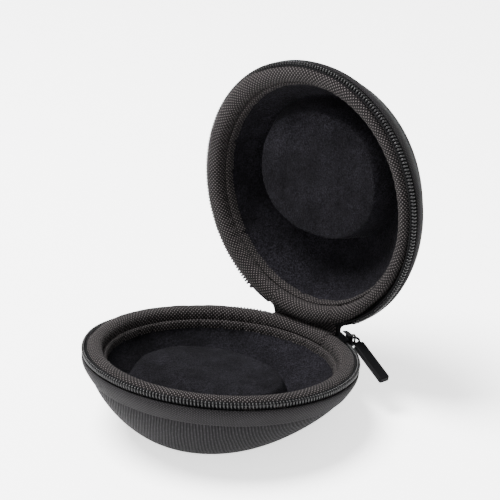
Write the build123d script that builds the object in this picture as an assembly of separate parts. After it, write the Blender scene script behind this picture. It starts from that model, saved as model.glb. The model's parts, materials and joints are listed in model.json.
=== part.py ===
from build123d import *
import os
from math import cos, radians, sin

# Hinged hard-shell carrying case, round, standing open on the flat base of its lower half.
# World frame: millimetres, +Z up, origin at the centre of the flat base, hinge towards +Y.
# Both halves are drawn in the rim frame: origin at the centre of the mating plane, +Z along its
# normal. The lower half lies below that plane, and the lid is its mirror image, swung open.

# ---- driving dimensions (mm, degrees) ----
rim_height = 32.0        # mating plane's centre above the floor
rim_shift = 6.0          # and this far behind the base's centre
rim_tilt = 7.2           # the mating plane drops towards the hinge: each half is a wedge
open_angle = 86.9        # lid opening in the rest pose
hinge_y = 55.6           # hinge line in the rim frame
hinge_z = 4.4

coil_radius = 57.6       # inner face of the zipper coil
coil_depth = 1.7         # radial thickness of the coil
coil_height = 2.2
row_gap = 0.6            # each coil row stops this far from the mating plane
tape_thickness = 0.5
tape_height = 4.6

roll_centre = 53.1       # padded outer roll of the rim
roll_width = 5.2
roll_height = 6.4
roll_top = -0.8
binding_centre = 49.4    # bound inner edge, beside the roll
binding_width = 2.0
binding_height = 4.6
binding_top = -4.3

band_top_radius = 59.2   # smooth fabric band below the zipper
band_top_z = -3.7
notch_radius = 55.9      # soft step between band and bowl
notch_z = -11.3
band_thickness = 0.8

cover_thickness = 0.7
bowl_top_radius = 55.0
bowl_top_z = -11.5
base_radius = 28.0       # flat base on the floor
bowl_fullness = 1.55     # 1 is a quarter ellipse, 2 is a straight cone

lining_top_radius = 48.3
lining_top_z = -9.0
lining_base_radius = 23.5
lining_thickness = 0.8
base_wall = 4.8          # base of the foam up to the lining
foam_top_z = -7.6
foam_inner_top_z = -8.5
foam_edge_radius = 56.4
fit_gap = 0.1            # between layers of one half

island_length = 67.0     # moulded island inside each half, at the edge of its plateau
island_width = 57.0
island_front = 8.0       # its centre lies this far from the rim's, away from the hinge
island_depth = 6.6       # plateau's middle below the mating plane
island_root = 27.0       # depth at which its flanks start

hinge_half_angle = 21.0  # zipper stops here, each side of the hinge
lid_row_start = 32.0     # lid row starts past the parked slider
stop_angle = 1.0
scoop_radius = 6.3       # room for the lid's edge to roll past the lower rim
scoop_half_length = 27.0
flap_thickness = 0.5
patch_half_angle = 18.0
stitch_count = 72
stitch_length = 2.2
stitch_thickness = 0.35

slider_angle = 26.5      # parked position, from the hinge towards +X
slider_half_angle = 3.6
plate_half_height = 3.4
inner_plate_radius = 56.1
inner_plate_thickness = 0.6
outer_plate_radius = 59.5
outer_plate_thickness = 0.7
flange_height = 0.35
post_half_angle = 1.4
post_half_height = 0.42
bar_radius = 0.6         # upright bar that holds the pull
bar_centre = 62.6
bar_half_height = 2.6

pull_length = 25.5       # eye centre to end
pull_width = 4.75
pull_thickness = 2.2
eye_outer_radius = 2.2
eye_hole_radius = 1.15
eye_thickness = 1.2
eye_offset = 0.35        # the eye hangs off-centre on its bar
neck_width = 2.4
pull_droop = 23.0        # below the rim plane
pull_roll = 11.0         # twist about its own length
pull_outward = 10.8      # from the rim's tangent

ON_BASE = (Align.CENTER, Align.CENTER, Align.MIN)
rim_place = Pos(0, rim_shift, rim_height) * Rot(X=-rim_tilt)
hinge_swing = Pos(0, hinge_y, hinge_z) * Rot(X=-open_angle) * Pos(0, -hinge_y, -hinge_z)
lid_place = rim_place * hinge_swing


def ring(points, start=0.0, end=360.0):
    """Solid of revolution of a closed (radius, z) outline, between two angles from the hinge."""
    face = make_face(Polyline(*[(r, 0, z) for r, z in points], close=True).edges())
    if end - start >= 360:
        return revolve(face, Axis.Z, 360)
    # the face lies on +X, and angles are counted from +Y towards +X
    return Rot(Z=90 - start) * revolve(face, -Axis.Z, end - start)


def block(radius, thickness, low, high, start, end):
    """Arc-shaped block with a rectangular section."""
    outer = radius + thickness
    return ring([(radius, low), (outer, low), (outer, high), (radius, high)], start, end)


def rounded_ring(centre, top, width, height, corner):
    """Padded ring with a rounded section."""
    section = Plane.XZ * Pos(centre, top - height / 2) * RectangleRounded(width, height, corner)
    return revolve(section, Axis.Z, 360)


def bowl(top_radius, top_z, bottom_radius, lift):
    """Solid bowl from a circle parallel to the rim to a level base raised by lift."""
    base = Vector(0, -rim_shift, lift - rim_height).rotate(Axis.X, rim_tilt)
    sections = []
    for angle in (0, 20, 40, 58, 74, 90):
        across = cos(radians(angle)) ** bowl_fullness if angle < 90 else 0
        down = sin(radians(angle)) ** bowl_fullness
        radius = bottom_radius + (top_radius - bottom_radius) * across
        place = Pos(0, base.Y * down, top_z + (base.Z - top_z) * down) * Rot(X=rim_tilt * down)
        sections.append(place * Circle(radius))
    return loft(sections)


def both(shape, name):
    """Writes one half's piece twice: on the lower half and, mirrored, on the lid."""
    lower(shape, name)
    lid(shape, name)


def lower(shape, name):
    export_step(rim_place * (shape - scoop), f"parts/lower_{name}.step")


def lid(shape, name):
    export_step(lid_place * mirror(shape, about=Plane.XY), f"parts/lid_{name}.step")


os.makedirs("parts", exist_ok=True)
scoop = Pos(0, hinge_y, hinge_z) * Rot(Y=90) * Cylinder(scoop_radius, 2 * scoop_half_length)

# ---- shell of each half: cover, band, foam, lining and island ----
cover_base = base_radius - cover_thickness
cover_outer = bowl(bowl_top_radius, bowl_top_z, base_radius, 0)
cover_inner = bowl(bowl_top_radius - cover_thickness, bowl_top_z, cover_base, cover_thickness)
both(cover_outer - cover_inner, "cover")

band = [
    (band_top_radius, band_top_z),
    (band_top_radius - band_thickness, band_top_z),
    (notch_radius - band_thickness, notch_z),
    (notch_radius, notch_z),
]
both(ring(band), "rim_band")

lining_outer = bowl(lining_top_radius, lining_top_z, lining_base_radius, base_wall)
cavity_lift = base_wall + lining_thickness
cavity_radius = lining_top_radius - lining_thickness
cavity = bowl(cavity_radius, lining_top_z, lining_base_radius - lining_thickness, cavity_lift)
both(lining_outer - cavity, "lining")

foam_gap = cover_thickness + fit_gap
foam_outer = bowl(bowl_top_radius - foam_gap, bowl_top_z, base_radius - foam_gap, foam_gap)
foam_inner_radius = lining_top_radius + 0.6
foam_inner = bowl(foam_inner_radius, foam_inner_top_z, lining_base_radius + 0.4, base_wall - 0.4)
foam_edge = [
    (lining_top_radius - 1, binding_top - binding_height - fit_gap),
    (binding_centre + binding_width / 2 + fit_gap, binding_top - binding_height - fit_gap),
    (binding_centre + binding_width / 2 + fit_gap, foam_top_z),
    (foam_edge_radius, foam_top_z),
    (bowl_top_radius - foam_gap, bowl_top_z),
    (lining_top_radius - 1, bowl_top_z),
]
both(foam_outer + ring(foam_edge) - foam_inner, "foam_shell")

# the island's flanks stand in the cavity, clear of the lining; (spread, depth) from root to plateau
floor_lift = cavity_lift + fit_gap
floor_radius = lining_base_radius - lining_thickness - fit_gap
clear_radius = cavity_radius - fit_gap
clear_cavity = bowl(clear_radius, lining_top_z, floor_radius, floor_lift)
clear_cavity += Pos(0, 0, lining_top_z) * Cylinder(clear_radius, -lining_top_z, align=ON_BASE)
island_steps = [(1.12, island_root), (1.06, 16.0), (1.0, 9.5), (0.88, island_depth)]
island_sections = []
for spread, depth in island_steps:
    outline = Ellipse(spread * island_length / 2, spread * island_width / 2)
    island_sections.append(Pos(0, -island_front, -depth) * outline)
both(loft(island_sections) & clear_cavity, "island")

# ---- rim: padded roll, bound inner edge and its stitches ----
both(rounded_ring(roll_centre, roll_top, roll_width, roll_height, 2.4), "rim_roll")
both(rounded_ring(binding_centre, binding_top, binding_width, binding_height, 0.9), "rim_binding")

stitch_radius = roll_centre - roll_width / 2 - fit_gap - stitch_thickness / 2
stitch = Box(stitch_thickness, stitch_length, stitch_thickness)
stitches = []
for index in range(stitch_count):
    angle = (index + 0.5) * 360 / stitch_count
    if patch_half_angle + 2 < angle < 358 - patch_half_angle:
        spot = Rot(Z=90 - angle) * Pos(stitch_radius, 0, binding_top + fit_gap + stitch_thickness)
        stitches.append(spot * stitch)
both(Compound(children=stitches), "binding_stitches")

# ---- zipper rows ----
tape_radius = coil_radius - tape_thickness
row_low = -row_gap - coil_height
tape_low = -row_gap - tape_height
lower_range = (hinge_half_angle + stop_angle, 360 - hinge_half_angle - stop_angle)
lid_range = (lid_row_start, 360 - lid_row_start)
for write, (start, end) in ((lower, lower_range), (lid, lid_range)):
    write(block(tape_radius, tape_thickness, tape_low, -row_gap, start - stop_angle, end + stop_angle),
          "zipper_tape")
    write(block(coil_radius, coil_depth, row_low, -row_gap, start, end), "zipper_coil")
    stops = [
        block(coil_radius, coil_depth, row_low, -row_gap, start - stop_angle, start - fit_gap),
        block(coil_radius, coil_depth, row_low, -row_gap, end + fit_gap, end + stop_angle),
    ]
    write(Compound(children=stops), "end_stops")

# ---- hinge: outer strip and inner patch, each in a lower and a lid flap ----
flap_slope = (band_top_radius - notch_radius) / (band_top_z - notch_z)
flap_low_z = -9.0
flap_low_radius = band_top_radius + (flap_low_z - band_top_z) * flap_slope + fit_gap
flap = [
    (band_top_radius + fit_gap, row_low + 0.8),
    (band_top_radius + fit_gap, band_top_z),
    (flap_low_radius, flap_low_z),
    (flap_low_radius + flap_thickness, flap_low_z),
    (band_top_radius + fit_gap + flap_thickness, band_top_z),
    (band_top_radius + fit_gap + flap_thickness, row_low + 0.8),
]
both(ring(flap, -hinge_half_angle + 1, hinge_half_angle - 1), "hinge_strip")
patch_radius = roll_centre - roll_width / 2 - fit_gap - flap_thickness
patch = block(patch_radius, flap_thickness, binding_top + 0.2, -1.0, -patch_half_angle, patch_half_angle)
both(patch, "hinge_patch")

# ---- slider: two plates joined by a post, flanges round both coil rows, and the bar ----
slider_start = slider_angle - slider_half_angle
slider_end = slider_angle + slider_half_angle
inner_plate = block(inner_plate_radius, inner_plate_thickness, -plate_half_height, plate_half_height,
                    slider_start, slider_end)
outer_plate = block(outer_plate_radius, outer_plate_thickness, -plate_half_height, plate_half_height,
                    slider_start, slider_end)
post = block(inner_plate_radius, outer_plate_radius - inner_plate_radius + 0.2,
             -post_half_height, post_half_height,
             slider_angle - post_half_angle, slider_angle + post_half_angle)
flange_low = plate_half_height - flange_height
flange_depth = outer_plate_radius - coil_radius - 0.1
flanges = [
    block(coil_radius + 0.2, flange_depth, low, low + flange_height, slider_start, slider_end)
    for low in (flange_low, -plate_half_height)
]
slider_body = inner_plate + outer_plate + post + flanges[0] + flanges[1]
export_step(rim_place * slider_body, "parts/slider_body.step")

# the bar stands off the outer plate on two short arms
at_slider = Rot(Z=90 - slider_angle)
plate_face = outer_plate_radius + outer_plate_thickness
arm_length = bar_centre - plate_face
arm = Box(arm_length, 2 * bar_radius, 0.9, align=(Align.MIN, Align.CENTER, Align.CENTER))
bail = Pos(bar_centre, 0, 0) * Cylinder(bar_radius, 2 * bar_half_height)
for side in (-1, 1):
    bail += Pos(plate_face, 0, side * (bar_half_height - 0.45)) * arm
export_step(rim_place * at_slider * bail, "parts/slider_bail.step")

# ---- pull: eye, neck and bar-shaped tab, along its own +X, hung on the bar ----
eye = Cylinder(eye_outer_radius, eye_thickness) - Cylinder(eye_hole_radius, 2 * eye_thickness)
neck_start = eye_outer_radius - 0.35
neck_end = eye_outer_radius + 1.4
neck = Pos((neck_start + neck_end) / 2, 0, 0) * Box(neck_end - neck_start, neck_width, eye_thickness)
tab_length = pull_length - neck_end + 0.3
tab = Pos(neck_end - 0.3 + tab_length / 2, 0, 0) * Box(tab_length, pull_width, pull_thickness)
tab = fillet(tab.edges().filter_by(Axis.Z), 0.5)
pull = Pos(eye_offset, 0, 0) * (eye + neck + tab)
tangent = Rot(Z=-90 + pull_outward)
hang = at_slider * Pos(bar_centre, 0, 0) * tangent * Rot(Y=pull_droop) * Rot(X=pull_roll)
export_step(rim_place * hang * pull, "parts/pull.step")
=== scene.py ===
import json
import math

import bmesh
import bpy
from mathutils import Matrix, Vector, noise


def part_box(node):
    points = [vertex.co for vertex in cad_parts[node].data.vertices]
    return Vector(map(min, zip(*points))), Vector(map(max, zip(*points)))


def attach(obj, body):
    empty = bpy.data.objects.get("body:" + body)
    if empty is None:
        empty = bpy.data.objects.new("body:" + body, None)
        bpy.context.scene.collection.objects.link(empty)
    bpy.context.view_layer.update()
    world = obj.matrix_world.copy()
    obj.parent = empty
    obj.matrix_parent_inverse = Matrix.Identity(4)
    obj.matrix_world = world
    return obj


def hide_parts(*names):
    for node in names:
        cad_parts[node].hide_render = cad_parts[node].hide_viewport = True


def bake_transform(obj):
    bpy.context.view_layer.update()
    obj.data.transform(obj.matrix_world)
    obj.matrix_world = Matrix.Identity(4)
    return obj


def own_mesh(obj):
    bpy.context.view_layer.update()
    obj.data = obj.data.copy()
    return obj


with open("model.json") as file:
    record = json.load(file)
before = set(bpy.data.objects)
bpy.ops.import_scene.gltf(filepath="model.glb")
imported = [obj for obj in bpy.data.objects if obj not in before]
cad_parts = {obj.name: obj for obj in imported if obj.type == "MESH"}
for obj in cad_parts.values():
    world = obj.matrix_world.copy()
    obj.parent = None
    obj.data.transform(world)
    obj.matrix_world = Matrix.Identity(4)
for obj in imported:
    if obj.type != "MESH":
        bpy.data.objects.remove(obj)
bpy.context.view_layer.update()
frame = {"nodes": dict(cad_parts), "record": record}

# Round hard-shell carrying case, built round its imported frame. The world is in metres. Both
# halves are drawn in millimetres in the rim frame: its origin is the centre of the mating plane,
# +Z its normal, and angles are degrees counted from the hinge (+Y) towards +X. The lid is the
# lower half mirrored in that plane and swung open about the hinge.

MM = 0.001
joints = {joint["name"]: joint for joint in frame["record"]["behaviour"]["joints"]}
hinge_point = Vector(joints["lid_hinge"]["pos_m"])
rim_centre = Vector(joints["slider_travel"]["pos_m"])
rim_normal = -Vector(joints["slider_travel"]["axis"]).normalized()
open_angle = math.radians(joints["lid_hinge"]["range_deg"][1])
rim_tilt = math.atan2(rim_normal.y, rim_normal.z)
rim_height = rim_centre.z / MM
rim_shift = rim_centre.y / MM

rim_frame = (Matrix.Translation(rim_centre) @ Matrix.Rotation(-rim_tilt, 4, "X")
             @ Matrix.Scale(MM, 4))
swing_open = (Matrix.Translation(hinge_point) @ Matrix.Rotation(-open_angle, 4, "X")
              @ Matrix.Translation(-hinge_point))
mirror = Matrix.Diagonal((1, 1, -1, 1))
PLACES = {"lower": rim_frame, "lid": swing_open @ rim_frame @ mirror}


def outer_radius(node):
    """Outside radius (mm) of a round CAD node."""
    low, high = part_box(node)
    return (high[0] - low[0]) / 2 / MM


# ---- radii read from the frame (mm) ----
coil_outer = outer_radius("lower_zipper_coil")
roll_outer = outer_radius("lower_rim_roll")
band_outer = outer_radius("lower_rim_band")
bowl_top = outer_radius("lower_cover")
lining_top = outer_radius("lower_lining")
binding_outer = outer_radius("lower_rim_binding")

hinge_half_angle = 22.0              # half the arc that the zipper leaves to the hinge


# ---- mesh helpers ----
def link(name, mesh):
    piece = bpy.data.objects.new(name, mesh)
    bpy.context.collection.objects.link(piece)
    return piece


def grid_piece(name, rows, place, cloth=None, close_u=True, close_v=False, flip=False,
               capped=False):
    """Smooth mesh from rows of points: rows[i][j], with i round the rim and j along the section.

    place takes the points to the world. cloth holds each point's thread coordinates (mm), flip
    turns the faces over, and capped closes the ring of each row's last point.
    """
    count_u, count_v = len(rows), len(rows[0])
    points = [place @ Vector(p) for row in rows for p in row]
    faces = []
    for i in range(count_u if close_u else count_u - 1):
        for j in range(count_v if close_v else count_v - 1):
            a = i * count_v + j
            b = i * count_v + (j + 1) % count_v
            c = ((i + 1) % count_u) * count_v + (j + 1) % count_v
            d = ((i + 1) % count_u) * count_v + j
            faces.append((a, d, c, b) if flip else (a, b, c, d))
    if capped:
        cap = tuple(i * count_v + count_v - 1 for i in range(count_u))
        faces.append(cap if flip else tuple(reversed(cap)))
    if place.to_3x3().determinant() < 0:
        faces = [tuple(reversed(face)) for face in faces]
    mesh = bpy.data.meshes.new(name)
    mesh.from_pydata([tuple(p) for p in points], [], faces)
    if cloth:
        flat = [uv for row in cloth for uv in row]
        turn_u = cloth[-1][0][0] + (cloth[-1][0][0] - cloth[-2][0][0]) if close_u else 0
        layer = mesh.uv_layers.new(name="cloth")
        for polygon in mesh.polygons:
            wraps = close_u and max(polygon.vertices) >= (count_u - 1) * count_v \
                and min(polygon.vertices) < count_v
            for loop in polygon.loop_indices:
                vertex = mesh.loops[loop].vertex_index
                u, v = flat[vertex]
                if wraps and vertex < count_v and turn_u:
                    u = turn_u
                layer.data[loop].uv = (u, v)
    for polygon in mesh.polygons:
        polygon.use_smooth = True
    mesh.validate()
    return link(name, mesh)


def around(angle, radius, z):
    """Point of the rim frame at an angle round the rim."""
    a = math.radians(angle)
    return (radius * math.sin(a), radius * math.cos(a), z)


def ring_piece(name, half, section, steps, start=0.0, end=360.0, close_v=False, flip=False):
    """Ring swept round the rim. section(angle) gives its (radius, z) points."""
    closed = end - start >= 360
    count = steps if closed else steps + 1
    angles = [start + (end - start) * i / steps for i in range(count)]
    rows, cloth = [], []
    for angle in angles:
        outline = section(angle)
        rows.append([around(angle, r, z) for r, z in outline])
        length, uv = 0.0, []
        for k, (r, z) in enumerate(outline):
            if k:
                length += math.hypot(r - outline[k - 1][0], z - outline[k - 1][1])
            uv.append((math.radians(angle) * roll_outer, length))
        cloth.append(uv)
    return grid_piece(name, rows, PLACES[half], cloth, closed, close_v, flip)


def wobble(x, y, z, scale, seed):
    """Smooth seeded noise from -1 to 1; scale is the size of its lumps."""
    return noise.noise(Vector((x / scale + seed * 7.3, y / scale - seed * 3.1, z / scale + seed)))


def thicken(piece, thickness, offset=-1, even=True):
    """Give a surface its thickness (mm): behind its faces, or about them with offset 0."""
    solid = piece.modifiers.new("thickness", "SOLIDIFY")
    solid.thickness = thickness * MM
    solid.offset = offset
    solid.use_even_offset = even


def subdivide(piece, levels):
    finer = piece.modifiers.new("smooth", "SUBSURF")
    finer.levels = levels
    finer.render_levels = levels


# ---- materials ----
def new_material(name):
    material = bpy.data.materials.new(name)
    material.use_nodes = True
    tree = material.node_tree
    return material, tree, tree.nodes["Principled BSDF"]


def calculator(tree):
    """Function that adds a math node to a tree and gives its output."""
    def calc(operation, *values, clamp=False):
        node = tree.nodes.new("ShaderNodeMath")
        node.operation = operation
        node.use_clamp = clamp
        for socket, value in zip(node.inputs, values):
            if isinstance(value, (int, float)):
                socket.default_value = value
            else:
                tree.links.new(value, socket)
        return node.outputs[0]
    return calc


def colour_mix(tree, factor, dark, light):
    mix = tree.nodes.new("ShaderNodeMix")
    mix.data_type = "RGBA"
    tree.links.new(factor, mix.inputs[0])
    mix.inputs[6].default_value = (*dark, 1)
    mix.inputs[7].default_value = (*light, 1)
    return mix.outputs[2]


def noise_field(tree, scale, detail=3.0, roughness=0.6):
    place = tree.nodes.new("ShaderNodeTexCoord")
    field = tree.nodes.new("ShaderNodeTexNoise")
    field.inputs["Scale"].default_value = scale
    field.inputs["Detail"].default_value = detail
    field.inputs["Roughness"].default_value = roughness
    tree.links.new(place.outputs["Object"], field.inputs["Vector"])
    return field.outputs[0]


def bump(tree, shader, height, distance):
    node = tree.nodes.new("ShaderNodeBump")
    node.inputs["Distance"].default_value = distance * MM
    node.inputs["Strength"].default_value = 1.0
    tree.links.new(height, node.inputs["Height"])
    tree.links.new(node.outputs[0], shader.inputs["Normal"])


def woven(name, warp, weft, dark, light, depth, rib=0.0, weft_shade=1.0):
    """Plain weave on the cloth coordinates.

    warp and weft are thread pitches (mm), depth is the relief (mm), rib joins the warp into
    ribs, and weft_shade is how light the weft is against the warp.
    """
    material, tree, shader = new_material(name)
    calc = calculator(tree)
    uv = tree.nodes.new("ShaderNodeUVMap")
    uv.uv_map = "cloth"
    split = tree.nodes.new("ShaderNodeSeparateXYZ")
    tree.links.new(uv.outputs[0], split.inputs[0])
    drift = calc("MULTIPLY", calc("SUBTRACT", noise_field(tree, 90, 2), 0.5), 0.9)
    waves, rounds = [], []
    for along, pitch in zip(split.outputs, (warp, weft)):
        threads = calc("ADD", calc("DIVIDE", along, pitch), drift)
        wave = calc("SINE", calc("MULTIPLY", threads, math.pi))
        waves.append(wave)
        rounds.append(calc("POWER", calc("ABSOLUTE", wave), 0.6))
    warp_round, weft_round = rounds
    over = calc("MULTIPLY_ADD", calc("MULTIPLY", *waves), 3.0, 0.5, clamp=True)
    warp_top = calc("MULTIPLY", warp_round, calc("MULTIPLY_ADD", weft_round, 0.6, 0.4))
    weft_top = calc("MULTIPLY", weft_round, calc("MULTIPLY_ADD", warp_round, 0.6, 0.4))
    weft_top = calc("MULTIPLY", weft_top, weft_shade)
    top = calc("ADD", calc("MULTIPLY", over, warp_top),
               calc("MULTIPLY", calc("SUBTRACT", 1.0, over), weft_top))
    top = calc("MAXIMUM", top, calc("MULTIPLY", warp_round, rib))
    fibre = noise_field(tree, 2600, 2)
    shade = calc("MULTIPLY", calc("POWER", top, 3.6), calc("MULTIPLY_ADD", fibre, 1.2, 0.45),
                 clamp=True)
    worn = calc("MULTIPLY_ADD", noise_field(tree, 55, 4), 0.7, 0.65)
    shade = calc("MULTIPLY", shade, worn, clamp=True)
    tree.links.new(colour_mix(tree, shade, dark, light), shader.inputs["Base Color"])
    shader.inputs["Roughness"].default_value = 0.85
    shader.inputs["Sheen Weight"].default_value = 0.012
    shader.inputs["Sheen Roughness"].default_value = 0.5
    shader.inputs["Specular IOR Level"].default_value = 0.07
    bump(tree, shader, calc("ADD", top, calc("MULTIPLY", fibre, 0.25)), depth)
    return material


def velour(name):
    """Short combed pile: fine grain, with lighter and darker patches painted in as the sheen of
    pile combed different ways.
    """
    material, tree, shader = new_material(name)
    calc = calculator(tree)
    pile = noise_field(tree, 1700, 3, 0.8)
    tufts = noise_field(tree, 600, 3, 0.7)
    # large soft lumps of the combed nap: they give its relief, and with the patches below they
    # also paint the pile's sheen into the colour
    brushed_nap_and_sheen = noise_field(tree, 75, 4, 0.6)
    patch = noise_field(tree, 24, 3, 0.5)
    grain = calc("MULTIPLY", calc("MULTIPLY_ADD", pile, 4.4, -1.8, clamp=True),
                 calc("MULTIPLY_ADD", tufts, 0.9, 0.55))
    # painted sheen: the colour is lightened and darkened in large patches where the combed pile
    # would catch the light differently
    shade = calc("MULTIPLY_ADD", calc("MULTIPLY", brushed_nap_and_sheen, patch), 4.0, -0.45, clamp=True)
    shade = calc("MULTIPLY", calc("MULTIPLY_ADD", shade, 0.85, 0.18), grain, clamp=True)
    colour = colour_mix(tree, shade, (0.0002, 0.0002, 0.0003), (0.0132, 0.0124, 0.016))
    tree.links.new(colour, shader.inputs["Base Color"])
    shader.inputs["Roughness"].default_value = 0.95
    shader.inputs["Specular IOR Level"].default_value = 0.05
    shader.inputs["Sheen Weight"].default_value = 0.015
    shader.inputs["Sheen Roughness"].default_value = 0.35
    shader.inputs["Sheen Tint"].default_value = (0.5, 0.48, 0.58, 1)
    height = calc("ADD", pile, calc("ADD", tufts, calc("MULTIPLY", brushed_nap_and_sheen, 2)))
    bump(tree, shader, height, 0.6)
    return material


def moulded(name, dark, light, roughness, grain, depth, coat=0.0, specular=0.1):
    """Plastic, enamel, foam or thread: fine grain with paler worn spots."""
    material, tree, shader = new_material(name)
    calc = calculator(tree)
    fine = noise_field(tree, grain, 3)
    broad = noise_field(tree, grain / 12, 3)
    shade = calc("MULTIPLY_ADD", calc("MULTIPLY", fine, broad), 2.0, -0.15, clamp=True)
    tree.links.new(colour_mix(tree, shade, dark, light), shader.inputs["Base Color"])
    rough = calc("MULTIPLY_ADD", broad, 0.25, roughness - 0.12)
    tree.links.new(rough, shader.inputs["Roughness"])
    shader.inputs["Specular IOR Level"].default_value = specular
    shader.inputs["Coat Weight"].default_value = coat
    shader.inputs["Coat Roughness"].default_value = 0.25
    bump(tree, shader, fine, depth)
    return material


MATERIALS = {
    "shell_fabric": woven("shell_fabric", 1.65, 1.15, (0.0005, 0.0005, 0.0006),
                          (0.0175, 0.0162, 0.018), depth=0.45, rib=0.86, weft_shade=0.3),
    "band_fabric": woven("band_fabric", 0.62, 0.6, (0.001, 0.001, 0.0011),
                         (0.032, 0.0296, 0.0318), depth=0.16, rib=0.6, weft_shade=0.7),
    "rim_fabric": woven("rim_fabric", 0.9, 0.85, (0.0001, 0.0001, 0.0001),
                        (0.083, 0.0725, 0.0725), depth=0.6, rib=0.5, weft_shade=0.5),
    "zipper_tape": woven("zipper_tape", 0.35, 0.35, (0.001, 0.001, 0.0012),
                         (0.005, 0.005, 0.0055), depth=0.06),
    "velour": velour("velour"),
    "eva_foam": moulded("eva_foam", (0.012, 0.012, 0.012), (0.03, 0.03, 0.03),
                        roughness=0.9, grain=900, depth=0.05),
    "thread": moulded("thread", (0.003, 0.003, 0.003), (0.012, 0.011, 0.011),
                      roughness=0.8, grain=2500, depth=0.03),
    "zipper_coil": moulded("zipper_coil", (0.0007, 0.0007, 0.0009), (0.004, 0.0038, 0.0043),
                           roughness=0.36, grain=1500, depth=0.015, coat=0.26, specular=0.15),
    "slider_metal": moulded("slider_metal", (0.001, 0.001, 0.0012), (0.003, 0.003, 0.0034),
                            roughness=0.42, grain=1200, depth=0.008, specular=0.05),
    "pull_metal": moulded("pull_metal", (0.0006, 0.0006, 0.0008), (0.002, 0.002, 0.0024),
                          roughness=0.5, grain=1100, depth=0.01, specular=0.04),
}
slot_of = {part["node"]: part["material_slot"] for part in frame["record"]["subparts"]}
for node, piece in frame["nodes"].items():
    piece.data.materials.clear()
    piece.data.materials.append(MATERIALS[slot_of[node]])


def finish_piece(piece, body, slot, *nodes):
    """Dress a piece in its slot's material and say which body carries it and what it replaces."""
    piece.data.materials.append(MATERIALS[slot])
    if nodes:
        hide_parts(*nodes)
    if body:
        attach(piece, body)


# ---- outer shell: ribbed bowl and the band above it ----
bowl_fullness = 1.55                 # power that rounds the bowl's side, 1 being an ellipse
bowl_top_z = -11.5
base_radius = 28.0
bowl_thickness = 0.6
band_thickness = 0.5
plan_turn = math.radians(-32.0)      # direction of the cover's ribs, from the hinge axis
plan_gather = 0.22                   # how far moulding draws the ribs together at the rim


def bowl_point(angle, reach, top_radius, top_z, bottom_radius, lift):
    """Point of a wedge bowl, level at its base and in the mating plane's tilt at its top.

    reach 0 is its top circle, 1 the edge of its base and 2 the base's centre; lift is the height
    of the base above the floor.
    """
    level = Matrix.Rotation(rim_tilt, 3, "X")
    base = level @ Vector((0, -rim_shift, lift - rim_height))
    if reach > 1:
        across, down, radius = 0.0, 1.0, bottom_radius * (2 - reach)
    else:
        quarter = reach * math.pi / 2
        across = max(0.0, math.cos(quarter)) ** bowl_fullness
        down = math.sin(quarter) ** bowl_fullness
        radius = bottom_radius + (top_radius - bottom_radius) * across
    a = math.radians(angle)
    flat = Vector((radius * math.sin(a), radius * math.cos(a), 0))
    centre = Vector((0, base.y * down, top_z + (base.z - top_z) * down))
    return centre + Matrix.Rotation(rim_tilt * down, 3, "X") @ flat


def plan_cloth(x, y):
    """Thread coordinates of cloth moulded over a dome: straight in plan, drawn in at the rim."""
    gather = 1 - plan_gather * (x * x + y * y) / bowl_top ** 2
    u = x * math.cos(plan_turn) - y * math.sin(plan_turn)
    v = x * math.sin(plan_turn) + y * math.cos(plan_turn)
    return u / gather, v


def build_bowl(half):
    steps = 192
    side, base = [k / 22 for k in range(1, 23)], [1 + k / 8 for k in range(1, 7)]
    rows = []
    for i in range(steps):
        angle = 360 * i / steps
        row = [around(angle, bowl_top - 1.2, bowl_top_z + 1.0)]      # tucked in under the band
        for reach in [0.0, 0.02] + side + base:
            row.append(tuple(bowl_point(angle, reach, bowl_top, bowl_top_z, base_radius, 0)))
        rows.append(row)
    piece = grid_piece(f"{half}_bowl_cover", rows, PLACES[half], flip=True, capped=True)
    layer = piece.data.uv_layers.new(name="cloth")
    flat = [plan_cloth(x, y) for row in rows for x, y, z in row]
    for loop in piece.data.loops:
        layer.data[loop.index].uv = flat[loop.vertex_index]
    thicken(piece, bowl_thickness)
    finish_piece(piece, half, "shell_fabric", f"{half}_cover")


# (radius past the band's, z, share of the puffing) from the turned-in top edge down
band_profile = [(-1.0, -3.9, 0), (-0.5, -3.6, 0), (0, -3.85, 0), (0.15, -4.5, 0), (0, -5.8, 1),
                (-0.8, -7.6, 1), (-1.9, -9.4, 1), (-2.9, -10.9, 0), (-3.5, -11.8, 0),
                (-4.2, -12.1, 0), (-4.9, -11.7, 0)]


def band_section(angle):
    a = math.radians(angle)
    puff = 0.18 * wobble(math.sin(a) * 20, math.cos(a) * 20, 0, 6, 2)
    return [(band_outer + past + puff * share, z) for past, z, share in band_profile]


def build_band(half):
    piece = ring_piece(f"{half}_outer_band", half, band_section, 180, flip=True)
    thicken(piece, band_thickness)
    subdivide(piece, 1)
    finish_piece(piece, half, "band_fabric", f"{half}_rim_band")


# ---- rim: padded roll and bound edge ----
roll_centre, roll_level = 54.0, -3.2         # radius and z of the middle of its section
roll_half_width, roll_half_height = 3.75, 3.8
roll_power = 2.4                     # squareness of the section, 2 being an ellipse
hinge_swell, hinge_dip = 0.7, 1.5    # at the hinge the lid's roll swells and the lower one dips
hinge_reach = 17.0                   # degrees over which they do
tuck_bulge, recede_depth = 1.1, 2.5


def smooth_step(t):
    """Soft ramp from 0 at t = 0 to 1 at t = 1."""
    t = min(max(t, 0.0), 1.0)
    return t * t * (3 - 2 * t)


def near_hinge(angle):
    """1 in the middle of the hinge and 0 away from it."""
    away = min(angle % 360, 360 - angle % 360)
    return math.exp(-(away / hinge_reach) ** 4)


def tuck(half, angle):
    """1 where a half's roll bulges over its zipper, on the side away from the slider."""
    first, last = (200, 332) if half == "lid" else (245, 328)
    return smooth_step((angle % 360 - first) / 25) * smooth_step((last - angle % 360) / 15)


def recede(half, angle):
    """1 where the lid's roll stands back and bares its tape, on the slider's side."""
    if half == "lower":
        return 0.0
    return smooth_step((angle % 360 - 20) / 25) * smooth_step((165 - angle % 360) / 30)


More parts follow.
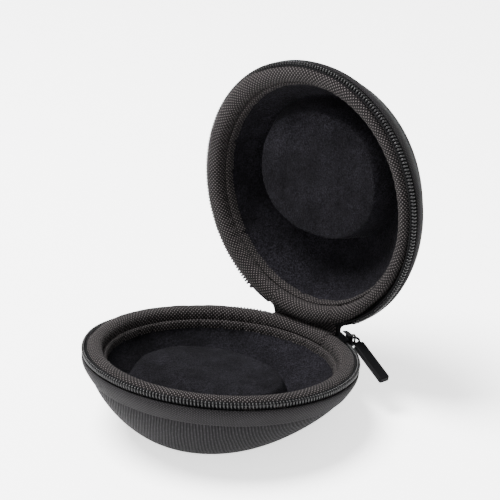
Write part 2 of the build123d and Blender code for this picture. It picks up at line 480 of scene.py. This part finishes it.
def oval(centre_r, centre_z, half_r, half_z, power, count, start=0.0, end=360.0):
    """Superellipse, or the arc of one from start to end degrees, as (radius, z) points."""
    points = []
    gaps = count if end - start >= 360 else count - 1
    for k in range(count):
        a = math.radians(start + (end - start) * k / gaps)
        c, s = math.cos(a), math.sin(a)
        points.append((centre_r + half_r * math.copysign(abs(c) ** (2 / power), c),
                       centre_z + half_z * math.copysign(abs(s) ** (2 / power), s)))
    return points


def roll_section(half, angle):
    a = math.radians(angle)
    x, y = math.sin(a) * roll_outer, math.cos(a) * roll_outer
    hinge = near_hinge(angle)
    out = tuck_bulge * tuck(half, angle) - recede_depth * recede(half, angle)
    seed = 4 if half == "lower" else 40
    points = []
    for r, z in oval(roll_centre, roll_level, roll_half_width, roll_half_height, roll_power, 32):
        side = (r - roll_centre) / roll_half_width
        inner, outer = max(0.0, -side), max(0.0, side)
        lump = 0.22 * wobble(x, y, z, 11, seed) + 0.13 * wobble(x, y, z, 3.4, seed + 4)
        pucker = 0.2 * inner ** 2 * math.sin(angle * 1.35 + 3 * wobble(x, y, 0, 14, seed + 1))
        if half == "lid":
            r += hinge * hinge_swell * outer
        else:
            z -= hinge * hinge_dip * outer * max(0.0, (z - roll_level) / roll_half_height)
        points.append((r + lump - pucker + out * outer, z + min(0.0, lump)))
    return points


binding_centre, binding_level = 49.6, -7.2
binding_half_width, binding_half_height = 1.25, 2.9
binding_power = 2.6
pleat_pitch, pleat_width = 12.5, 0.9         # degrees round the rim
pleat_in, pleat_up = 0.65, 0.9       # how far a pleat pushes the edge in and lifts its foot


def binding_section(half, angle):
    a = math.radians(angle)
    x, y = math.sin(a) * binding_outer, math.cos(a) * binding_outer
    seed = 11 if half == "lower" else 51
    shifted = angle + 7.0 * wobble(x, y, 0, 19, seed)
    off = abs((shifted / pleat_pitch) % 1 - 0.5) * pleat_pitch
    strength = smooth_step(0.5 + 1.3 * wobble(x, y, 0, 13, seed + 7))
    pleat = strength * math.exp(-(off / pleat_width) ** 2)
    points = []
    for r, z in oval(binding_centre, binding_level, binding_half_width, binding_half_height,
                     binding_power, 22):
        low = max(0.0, (binding_level - z) / binding_half_height)
        inner = max(0.0, (binding_centre - r) / binding_half_width)
        lump = 0.16 * wobble(x, y, z, 2.6, seed + 2) + 0.2 * wobble(x, y, z, 7, seed + 3)
        ragged = 0.5 * wobble(x, y, 0, 2.2, seed + 5) * low
        points.append((r + lump + pleat * pleat_in * inner,
                       z + pleat * pleat_up * low + lump * low + ragged))
    return points


def build_rim(half):
    roll = ring_piece(f"{half}_padded_roll", half, lambda angle: roll_section(half, angle), 420,
                      close_v=True)
    finish_piece(roll, half, "rim_fabric", f"{half}_rim_roll")
    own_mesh(roll)
    binding = ring_piece(f"{half}_bound_edge", half,
                         lambda angle: binding_section(half, angle), 600, close_v=True)
    finish_piece(binding, half, "rim_fabric", f"{half}_rim_binding")


stitch_pitch = 4.4
stitch_length = 2.6
stitch_radius = 0.22
stitch_level = 6.2                   # below the mating plane
# (place along the stitch, how deep the thread sinks into the edge)
stitch_path = [(-0.5, 0.35), (-0.4, 0.05), (0.0, -0.05), (0.4, 0.05), (0.5, 0.35)]


def build_stitches(half):
    """Row of stitches along the inner face of the bound edge, near its top."""
    step = math.degrees(stitch_pitch / binding_outer)
    paths = []
    for index in range(int(360 / step)):
        middle = index * step
        path = []
        for along, sink in stitch_path:
            angle = middle + math.degrees(along * stitch_length / binding_outer)
            face = min(r for r, z in binding_section(half, angle) if abs(z + stitch_level) < 0.8)
            path.append(around(angle, face + sink, -stitch_level))
        paths.append(path)
    piece = tubes(f"{half}_binding_thread", paths, [stitch_radius] * len(stitch_path), 6,
                  PLACES[half])
    finish_piece(piece, half, "thread", f"{half}_binding_stitches")


# ---- velour lining with its moulded island ----
cavity_top_z = -8.6
cavity_base_radius = 22.7
cavity_lift = 5.6
lining_thickness = 0.5
island_half_length = 33.5
island_half_width = 28.5
island_front = 8.0                   # its centre lies this far from the rim's, away from the hinge
island_depth = {"lower": 6.8, "lid": 6.0}    # of its top, below the mating plane
island_crispness = {"lower": 0.15, "lid": 1.0}
island_power = 2.25
island_fade = 3.6                    # how far its front falls away
island_fillet = 3.6                  # width over which it melts into the cavity's wall
flank_start = 0.95                   # share of the half sizes at which the flank begins
flank_slope, flank_curve = (32, 75), (120, 350)      # when soft, and what crispness adds


def smooth_max(a, b, width):
    """The larger of two heights, with a fillet where they are within width of each other."""
    gap = max(width - abs(a - b), 0.0) / width
    return max(a, b) + gap * gap * width / 4


def island_level(half, x, y):
    """Height of the island's surface in the rim frame: a dented plateau with steep flanks."""
    across, along = abs(x - 1) / island_half_length, abs(y + island_front) / island_half_width
    d = (across ** island_power + along ** island_power) ** (1 / island_power)
    seed = 21 if half == "lower" else 61
    dent = 0.8 * wobble(x, y, 0, 15, seed) + 0.3 * wobble(x, y, 0, 5.5, seed + 2)
    forward = max(0.0, -(y + island_front) / island_half_width)
    crisp = (1 - smooth_step(forward / 0.6)) * island_crispness[half]
    plateau = -island_depth[half] - 0.9 * d ** 4 + dent * (1 - smooth_step((d - 0.8) / 0.3))
    plateau -= island_fade * smooth_step((forward - 0.2) / 0.8)
    flank = max(0.0, d - flank_start)
    slope, curve = (soft + extra * crisp for soft, extra in (flank_slope, flank_curve))
    return plateau - slope * flank - curve * flank * flank


def build_lining(half):
    steps = 288
    reaches = [k / 56 for k in range(57)] + [1 + k / 34 for k in range(1, 34)] + [1.999]
    rows = []
    for i in range(steps):
        angle = 360 * i / steps
        row = [around(angle, lining_top + 0.9, -6.6), around(angle, lining_top + 0.2, -7.6)]
        for reach in reaches:
            p = bowl_point(angle, reach, lining_top - 0.4, cavity_top_z, cavity_base_radius,
                           cavity_lift)
            lump = 0.25 * wobble(p.x, p.y, p.z, 12, 31)
            island = island_level(half, p.x, p.y)
            row.append((p.x, p.y, smooth_max(p.z + lump, island, island_fillet)))
        rows.append(row)
    piece = grid_piece(f"{half}_velour_lining", rows, PLACES[half])
    thicken(piece, lining_thickness)
    finish_piece(piece, half, "velour", f"{half}_lining", f"{half}_island")


# ---- zipper: loops of a nylon coil, the tape that carries them and a stop at each end ----
tooth_pitch = 1.5
coil_start = {"lower": hinge_half_angle + 1.2, "lid": 31.5}   # the lid's starts past the slider
# (offset along the row, radius, z, radius of the wire) down one loop: leg, head and next leg
tooth_path = [(-0.62, 57.95, -2.8, 0.18), (-0.45, 58.6, -2.75, 0.22), (-0.2, 58.95, -2.4, 0.26),
              (-0.05, 59.1, -1.9, 0.32), (0.0, 59.1, -1.2, 0.42), (0.0, 58.85, -0.78, 0.46),
              (0.0, 58.4, -0.74, 0.44), (0.1, 58.0, -1.1, 0.32), (0.3, 57.85, -2.0, 0.26),
              (0.5, 57.75, -2.75, 0.2)]
tuck_drop = 0.8                      # how far a row sinks where its roll bulges over it
tape_outer, tape_inner, ledge_inner = 57.75, 57.25, 53.5
stop_radius, stop_level = 58.5, -1.8
stop_half_angle = 0.55
stop_gap = 0.9                       # degrees from the end of the row to the middle of its stop


def tubes(name, paths, radii, sides, place):
    """One mesh of round bars, each swept along a path of points (mm) with a radius at each."""
    points, faces = [], []
    for path in paths:
        path = [Vector(p) for p in path]
        start = len(points)
        for k, here in enumerate(path):
            ahead = (path[min(k + 1, len(path) - 1)] - path[max(k - 1, 0)]).normalized()
            radial = Vector((here.x, here.y, 0)).normalized()
            along = Vector((radial.y, -radial.x, 0))
            guide = along if abs(ahead.dot(along)) < 0.85 else radial
            side = (guide - ahead * ahead.dot(guide)).normalized()
            up = ahead.cross(side)
            for s in range(sides):
                a = 2 * math.pi * s / sides
                points.append(here + (side * math.cos(a) + up * math.sin(a)) * radii[k])
        for k in range(len(path) - 1):
            for s in range(sides):
                a, b = start + k * sides + s, start + k * sides + (s + 1) % sides
                faces.append((a, b, b + sides, a + sides))
        faces.append(tuple(start + s for s in reversed(range(sides))))
        faces.append(tuple(start + (len(path) - 1) * sides + s for s in range(sides)))
    if place.to_3x3().determinant() < 0:
        faces = [tuple(reversed(face)) for face in faces]
    mesh = bpy.data.meshes.new(name)
    mesh.from_pydata([tuple(place @ p) for p in points], [], faces)
    for polygon in mesh.polygons:
        polygon.use_smooth = True
    return link(name, mesh)


def build_teeth(half, first, last):
    shift = 0.5 if half == "lid" else 0.0    # the lid's loops come between the lower half's
    step = math.degrees(tooth_pitch / coil_outer)
    paths = []
    for index in range(int((last - first) / step)):
        centre = first + (index + 0.5 + shift) * step
        drop = tuck_drop * tuck(half, centre)
        paths.append([around(centre + math.degrees(u / coil_outer), r, z - drop)
                      for u, r, z, wire in tooth_path])
    radii = [wire for u, r, z, wire in tooth_path]
    piece = tubes(f"{half}_zipper_teeth", paths, radii, 8, PLACES[half])
    finish_piece(piece, half, "zipper_coil", f"{half}_zipper_coil")


def build_tape(half):
    """Upright tape behind the teeth, with a ledge that runs in under the roll."""
    def section(angle):
        top = -0.45 - tuck_drop * tuck(half, angle)
        return [(tape_outer, top), (tape_outer, -5.4), (tape_inner, -5.4), (tape_inner, -4.2),
                (ledge_inner, -4.4), (ledge_inner, -4.0), (tape_inner, -3.7), (tape_inner, top)]
    start = hinge_half_angle - 3
    piece = ring_piece(f"{half}_tape", half, section, 300, start, 360 - start, close_v=True)
    finish_piece(piece, half, "zipper_tape", f"{half}_zipper_tape")


def cap_ends(piece):
    mesh = bmesh.new()
    mesh.from_mesh(piece.data)
    bmesh.ops.holes_fill(mesh, edges=[e for e in mesh.edges if e.is_boundary], sides=0)
    bmesh.ops.recalc_face_normals(mesh, faces=mesh.faces)
    mesh.to_mesh(piece.data)
    mesh.free()


def build_stops(half):
    first = coil_start[half] - stop_gap
    for number, angle in enumerate((first, 360 - first)):
        level = stop_level - tuck_drop * tuck(half, angle)
        block = oval(stop_radius, level, 0.85, 1.15, 4, 16)
        stop = ring_piece(f"{half}_end_stop_{number}", half, lambda _: block, 4,
                          angle - stop_half_angle, angle + stop_half_angle, close_v=True)
        cap_ends(stop)
        replaced = [f"{half}_end_stops"] if number == 0 else []
        finish_piece(stop, half, "zipper_coil", *replaced)


# ---- hinge: outer strip and inner patch, each one sheet bent between the halves ----
strip_thickness, patch_thickness = 0.45, 0.3
strip_outline = [(57.75, -9.2), (58.75, -7.6), (59.5, -5.8), (59.65, -4.3)]   # over the bands
patch_gap = 0.16                     # between the patch and the rolls that it lies on


def bridge(a, b, ahead_a, ahead_b, reach, count):
    """Points between a and b, leaving a along ahead_a and reaching b against ahead_b."""
    points = []
    for k in range(1, count):
        t = k / count
        c, d = a + ahead_a * reach, b + ahead_b * reach
        points.append(a * (1 - t) ** 3 + c * 3 * t * (1 - t) ** 2
                      + d * 3 * t * t * (1 - t) + b * t ** 3)
    return points


def hinge_sheet(name, first, last, lower_outline, lid_outline, reach, bridge_count, thickness):
    """Sheet from angle first to angle last, up an outline (radius, z) of the lower half, over
    the fold and down one of the lid. The larger reach is, the further the fold bulges."""
    steps = 28
    rows, cloth = [], []
    for i in range(steps + 1):
        angle = first + (last - first) * i / steps
        lower = [PLACES["lower"] @ Vector(around(angle, r, z)) for r, z in lower_outline]
        lid = [PLACES["lid"] @ Vector(around(angle, r, z)) for r, z in lid_outline]
        leave = (lower[-1] - lower[-2]).normalized() * MM
        arrive = (lid[-1] - lid[-2]).normalized() * MM
        fold = bridge(lower[-1], lid[-1], leave, arrive, reach, bridge_count)
        row = lower + fold + lid[::-1]
        length, uv = 0.0, []
        for k, point in enumerate(row):
            if k:
                length += (point - row[k - 1]).length / MM
            uv.append((math.radians(angle) * roll_outer, length))
        rows.append([tuple(point) for point in row])
        cloth.append(uv)
    piece = grid_piece(name, rows, Matrix.Identity(4), cloth, close_u=False)
    thicken(piece, thickness, offset=0, even=False)
    return piece


def over_roll(count, end):
    """Arc just clear of a roll's section, from its inner side over its top to end degrees."""
    return oval(roll_centre, roll_level, roll_half_width + patch_gap, roll_half_height + patch_gap,
                roll_power, count, 196, end)


def build_hinge():
    strip = hinge_sheet("hinge_strip_sheet", -16, 20, strip_outline, strip_outline, 1.6, 10,
                        strip_thickness)
    finish_piece(strip, None, "band_fabric", "lower_hinge_strip", "lid_hinge_strip")
    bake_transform(strip)
    patch = hinge_sheet("hinge_patch_sheet", -17, 19, over_roll(10, 55), over_roll(12, 24), 1.0, 8,
                        patch_thickness)
    finish_piece(patch, None, "rim_fabric", "lower_hinge_patch", "lid_hinge_patch")
    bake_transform(patch)


# ---- slider and pull ----
slider_angle = 26.5
slider_half_height = 3.4
flange_thickness = 0.35
loop_radius = 62.6                   # of the upright part of the loop, from the rim's centre
loop_wire = 0.45
# its plates as (x, y): +X points away from the rim's centre and +Y along the rim
back_outline = [(56.1, -3.3), (56.1, 3.3), (56.8, 3.4), (56.8, -3.4)]
face_outline = [(59.6, -3.5), (59.6, 3.5), (60.4, 2.9), (60.4, -2.9)]
post_outline = [(56.6, -1.3), (56.6, 1.3), (59.8, 1.3), (59.8, -1.3)]
flange_outline = [(57.9, -3.4), (57.9, 3.4), (59.7, 3.4), (59.7, -3.4)]
loop_path = [(60.1, 2.2), (61.3, 2.45), (62.2, 2.35), (loop_radius, 1.8), (loop_radius, 0),
             (loop_radius, -1.8), (62.2, -2.35), (61.3, -2.45), (60.1, -2.2)]    # (radius, z)
at_slider = rim_frame @ Matrix.Rotation(math.radians(90 - slider_angle), 4, "Z")

pull_outward, pull_droop, pull_roll = 10.8, 23.0, 11.0      # degrees, as the pull hangs at rest
eye_offset = 0.35                    # of the eye's centre from the middle of the loop's wire
eye_major, eye_minor, eye_half_height = 1.78, 0.46, 0.68
tab_start, tab_end, tab_half_width, tab_half_height = 2.2, 25.5, 2.375, 1.3
hang = (at_slider @ Matrix.Translation((loop_radius, 0, 0))
        @ Matrix.Rotation(math.radians(-90 + pull_outward), 4, "Z")
        @ Matrix.Rotation(math.radians(pull_droop), 4, "Y")
        @ Matrix.Rotation(math.radians(pull_roll), 4, "X"))


def slab(name, place, outline, low, high, bevel):
    """Plate with the given (x, y) outline between two heights, with rounded edges."""
    count = len(outline)
    points = [place @ Vector((x, y, z)) for z in (low, high) for x, y in outline]
    faces = [tuple(reversed(range(count))), tuple(range(count, 2 * count))]
    for k in range(count):
        after = (k + 1) % count
        faces.append((k, after, count + after, count + k))
    mesh = bpy.data.meshes.new(name)
    mesh.from_pydata([tuple(p) for p in points], [], faces)
    piece = link(name, mesh)
    rounding = piece.modifiers.new("rounding", "BEVEL")
    rounding.width = bevel * MM
    rounding.segments = 3
    rounding.limit_method = "ANGLE"
    return piece


def build_slider():
    height = slider_half_height
    plates = [("face", face_outline, -height, height, 0.28, ["slider_body"]),
              ("back", back_outline, -height, height, 0.2, []),
              ("post", post_outline, -0.4, 0.4, 0.1, [])]
    for number, low in enumerate((-height, height - flange_thickness)):
        plates.append((f"flange_{number}", flange_outline, low, low + flange_thickness, 0.1, []))
    for name, outline, low, high, bevel, replaced in plates:
        plate = slab(f"slider_{name}", at_slider, outline, low, high, bevel)
        finish_piece(plate, "slider", "slider_metal", *replaced)
    loop = tubes("slider_loop", [[(r, 0, z) for r, z in loop_path]], [loop_wire] * len(loop_path),
                 12, at_slider)
    finish_piece(loop, "slider", "slider_metal", "slider_bail")


def build_pull():
    rows = []
    for i in range(36):
        a = 2 * math.pi * i / 36
        row = []
        for k in range(12):
            b = 2 * math.pi * k / 12
            radius = eye_major + eye_minor * math.cos(b)
            row.append((eye_offset + radius * math.cos(a), radius * math.sin(a),
                        eye_half_height * math.sin(b)))
        rows.append(row)
    eye = grid_piece("pull_eye", rows, hang, close_v=True, flip=True)
    finish_piece(eye, "pull", "pull_metal", "pull")
    side = [(tab_start, 1.15), (tab_start + 0.9, tab_half_width), (tab_end - 0.5, tab_half_width),
            (tab_end, tab_half_width - 0.5)]
    outline = [(x + eye_offset, -y) for x, y in side]
    outline += [(x + eye_offset, y) for x, y in reversed(side)]
    tab = slab("pull_tab", hang, outline, -tab_half_height, tab_half_height, 0.35)
    finish_piece(tab, "pull", "pull_metal")


for half in ("lower", "lid"):
    build_bowl(half)
    build_band(half)
    build_rim(half)
    build_stitches(half)
    build_lining(half)
    build_tape(half)
    build_teeth(half, coil_start[half], 360 - coil_start[half])
    build_stops(half)
build_hinge()
build_slider()
build_pull()


# ---- stage, light and camera ----
stage_centre = (0, 0.02, 0.05)       # the lamps point here


def build_stage():
    bpy.ops.mesh.primitive_plane_add(size=6, location=(0, 0, 0))
    floor = bpy.context.object
    floor.name = "floor"
    material, _, shader = new_material("floor_paper")
    shader.inputs["Base Color"].default_value = (0.95, 0.95, 0.95, 1)
    shader.inputs["Roughness"].default_value = 0.8
    shader.inputs["Emission Color"].default_value = (1, 1, 1, 1)
    shader.inputs["Emission Strength"].default_value = 1.6
    floor.data.materials.append(material)
    world = bpy.data.worlds.new("studio")
    world.use_nodes = True
    background = world.node_tree.nodes["Background"]
    background.inputs["Color"].default_value = (1, 1, 1, 1)
    background.inputs["Strength"].default_value = 1.0
    bpy.context.scene.world = world


def area_light(name, place, size, power):
    data = bpy.data.lights.new(name, "AREA")
    data.shape = "DISK"
    data.size = size
    data.energy = power
    lamp = bpy.data.objects.new(name, data)
    lamp.location = place
    lamp.rotation_mode = "QUATERNION"
    lamp.rotation_quaternion = (Vector(stage_centre) - Vector(place)).to_track_quat("-Z", "Y")
    bpy.context.collection.objects.link(lamp)


view_azimuth = 40.54      # degrees, in the rim frame
view_elevation = 20.62
view_roll = 3.99
view_distance = 1046.5    # mm from the rim's centre
focal_length = 176.8
sensor_width = 36
aim_right = 0.67          # degrees by which the optical axis passes the rim's centre
aim_up = 2.342


def build_camera():
    a, e, roll = (math.radians(v) for v in (view_azimuth, view_elevation, view_roll))
    back = Vector((math.sin(a) * math.cos(e), -math.cos(a) * math.cos(e), math.sin(e)))
    right = Vector((math.cos(a), math.sin(a), 0))
    up = back.cross(right)
    turned_right = right * math.cos(roll) + up * math.sin(roll)
    turned_up = up * math.cos(roll) - right * math.sin(roll)
    axes = Matrix((turned_right, turned_up, back)).transposed()
    seen = Vector((-math.tan(math.radians(aim_right)), -math.tan(math.radians(aim_up)), -1))
    aim = seen.rotation_difference(Vector((0, 0, -1))).to_matrix()
    tilt = Matrix.Rotation(-rim_tilt, 3, "X")
    data = bpy.data.cameras.new("camera")
    data.lens = focal_length
    data.sensor_width = sensor_width
    data.clip_start = 0.05
    camera = bpy.data.objects.new("camera", data)
    camera.location = rim_frame @ (back * view_distance)
    camera.rotation_mode = "QUATERNION"
    camera.rotation_quaternion = (tilt @ axes @ aim).to_quaternion()
    bpy.context.collection.objects.link(camera)
    bpy.context.scene.camera = camera


build_stage()
area_light("key", (-0.42, -0.22, 1.25), size=0.75, power=85)
area_light("fill", (0.9, -0.8, 0.5), size=0.9, power=9)
build_camera()
